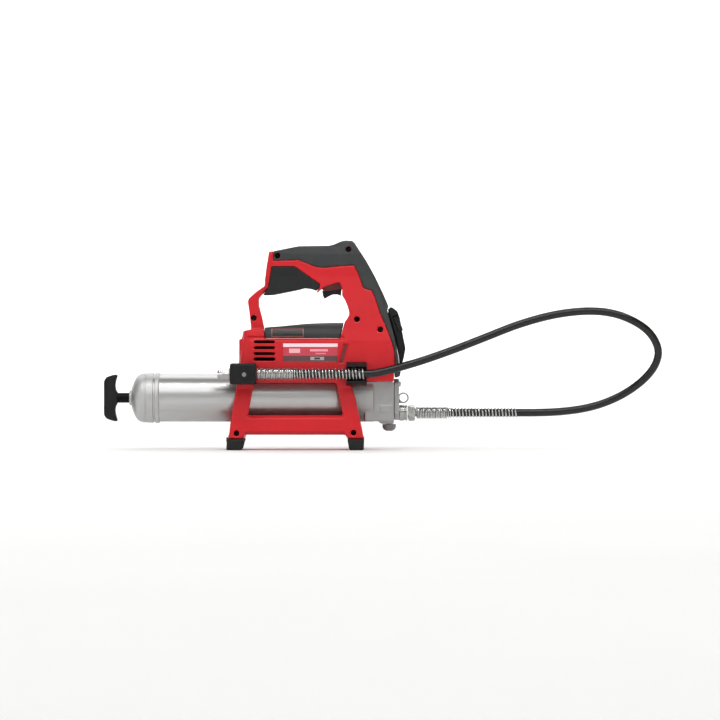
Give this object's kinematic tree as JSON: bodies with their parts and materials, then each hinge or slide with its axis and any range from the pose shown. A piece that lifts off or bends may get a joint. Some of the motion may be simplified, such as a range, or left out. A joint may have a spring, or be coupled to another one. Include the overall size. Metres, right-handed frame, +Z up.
{
  "type": "cordless grease gun",
  "caption": "Battery-driven grease gun with a closed handle, a cartridge barrel on a stand, a T-handled plunger and a long high-pressure hose held along its side.",
  "frame": {"origin": "on the floor, under the middle of the tool's box without its hose", "axes": "+X along the barrel towards the outlet, +Y to the side away from the stowed hose, +Z up"},
  "size_m": [0.6568, 0.102, 0.2467],
  "materials": {
    "red_shell": "moulded nylon, satin",
    "soft_grey": "soft overmould, fine texture",
    "soft_black": "soft grip rubber",
    "foot_rubber": "moulded rubber",
    "black_plastic": "moulded, fine spark texture",
    "label": "printed film",
    "barrel_silver": "drawn tube, clear coated",
    "cast_grey": "die cast, bead blasted",
    "bright_steel": "turned, plated",
    "spring_steel": "plated wire",
    "hose_black": "smooth extruded cover",
    "brass": "turned",
    "board": "solder resist"
  },
  "bodies": {
    "housing": {"housing_near": "red_shell", "housing_far": "red_shell", "label_plate": "label", "top_grip": "soft_grey", "under_grip": "soft_black", "motor_cover": "soft_grey", "control_board": "board", "foot_pad_1": "foot_rubber", "foot_pad_2": "foot_rubber", "foot_pad_3": "foot_rubber", "foot_pad_4": "foot_rubber", "housing_screw_1": "bright_steel", "housing_screw_2": "bright_steel", "housing_screw_3": "bright_steel", "housing_screw_4": "bright_steel", "housing_screw_5": "bright_steel", "housing_screw_6": "bright_steel", "housing_screw_7": "bright_steel", "pump_head": "cast_grey", "check_valve": "brass", "cover_plate": "cast_grey", "cover_screw_1": "bright_steel", "cover_screw_2": "bright_steel", "cover_screw_3": "bright_steel", "cover_screw_4": "bright_steel", "outlet_fitting": "bright_steel", "strap_eye": "bright_steel", "motor": "bright_steel", "ring_gear": "bright_steel", "gear_case": "cast_grey", "crank_bearing": "bright_steel", "trigger_pin": "bright_steel", "trigger_switch": "black_plastic", "trigger_spring": "spring_steel", "terminal_block": "black_plastic", "hose_holder": "black_plastic", "hose_clip": "black_plastic", "hose_guard_near": "spring_steel", "hose_guard_outlet": "spring_steel", "coupler_nut": "bright_steel", "hose_coupler": "bright_steel", "hose": "hose_black"},
    "barrel": {"barrel_tube": "barrel_silver", "barrel_cap": "barrel_silver", "follower_spring": "spring_steel"},
    "plunger": {"follower_plate": "bright_steel", "follower_cup": "foot_rubber"},
    "rod": {"plunger_rod": "bright_steel", "pull_handle": "black_plastic"},
    "trigger": {"trigger": "black_plastic"},
    "battery": {"battery_pack": "black_plastic"},
    "latch_near": {"battery_latch_near": "black_plastic"},
    "latch_far": {"battery_latch_far": "black_plastic"},
    "relief_valve": {"relief_valve": "cast_grey"},
    "crank": {"crank_carrier": "bright_steel"},
    "sun": {"sun_gear": "bright_steel"},
    "planet_1": {"planet_gear_1": "bright_steel"},
    "planet_2": {"planet_gear_2": "bright_steel"},
    "planet_3": {"planet_gear_3": "bright_steel"},
    "piston": {"piston_yoke": "bright_steel"}
  },
  "joints": [
    {"name": "barrel_turn", "type": "hinge", "parent": "housing", "child": "barrel", "pos_m": [-0.00005, 0.007, 0.061], "axis": [1, 0, 0], "range_deg": [-1080, 0]},
    {"name": "plunger_pull", "type": "slide", "parent": "barrel", "child": "plunger", "axis": [-1, 0, 0], "range_m": [0, 0.185], "stiffness_N_per_m": 300, "deforming": ["follower_spring"]},
    {"name": "rod_turn", "type": "hinge", "parent": "plunger", "child": "rod", "pos_m": [-0.00005, 0.007, 0.061], "axis": [1, 0, 0], "range_deg": [0, 90]},
    {"name": "trigger_pull", "type": "hinge", "parent": "housing", "child": "trigger", "pos_m": [0.10145, 0.007, 0.194], "axis": [0, 1, 0], "range_deg": [0, 11], "stiffness_Nm_per_rad": 0.4, "deforming": ["trigger_spring"]},
    {"name": "battery_slide", "type": "slide", "parent": "housing", "child": "battery", "axis": [0.9342, 0, 0.3567], "range_m": [0, 0.06]},
    {"name": "latch_near_press", "type": "slide", "parent": "battery", "child": "latch_near", "axis": [0, 1, 0], "range_m": [0, 0.002], "stiffness_N_per_m": 900},
    {"name": "latch_far_press", "type": "slide", "parent": "battery", "child": "latch_far", "axis": [0, -1, 0], "range_m": [0, 0.002], "stiffness_N_per_m": 900},
    {"name": "relief_valve_turn", "type": "hinge", "parent": "housing", "child": "relief_valve", "pos_m": [0.15645, 0.007, 0.022], "axis": [0, 0, -1], "range_deg": [0, 360]},
    {"name": "crank_spin", "type": "hinge", "parent": "housing", "child": "crank", "pos_m": [-0.00005, 0.007, 0.112], "axis": [1, 0, 0], "continuous": true},
    {"name": "sun_spin", "type": "hinge", "parent": "housing", "child": "sun", "pos_m": [-0.00005, 0.007, 0.112], "axis": [1, 0, 0], "continuous": true},
    {"name": "planet_1_spin", "type": "hinge", "parent": "crank", "child": "planet_1", "pos_m": [0.06495, 0.01645, 0.112], "axis": [1, 0, 0], "continuous": true},
    {"name": "planet_2_spin", "type": "hinge", "parent": "crank", "child": "planet_2", "pos_m": [0.06495, 0.00228, 0.12018], "axis": [1, 0, 0], "continuous": true},
    {"name": "planet_3_spin", "type": "hinge", "parent": "crank", "child": "planet_3", "pos_m": [0.06495, 0.00228, 0.10382], "axis": [1, 0, 0], "continuous": true},
    {"name": "piston_stroke", "type": "slide", "parent": "housing", "child": "piston", "axis": [0, 0, 1], "range_m": [-0.006, 0.006]}
  ],
  "couplings": [
    {"joint": "sun_spin", "follows": "crank_spin", "ratio": 4.5},
    {"joint": "planet_1_spin", "follows": "crank_spin", "ratio": -2.8},
    {"joint": "planet_2_spin", "follows": "crank_spin", "ratio": -2.8},
    {"joint": "planet_3_spin", "follows": "crank_spin", "ratio": -2.8}
  ]
}
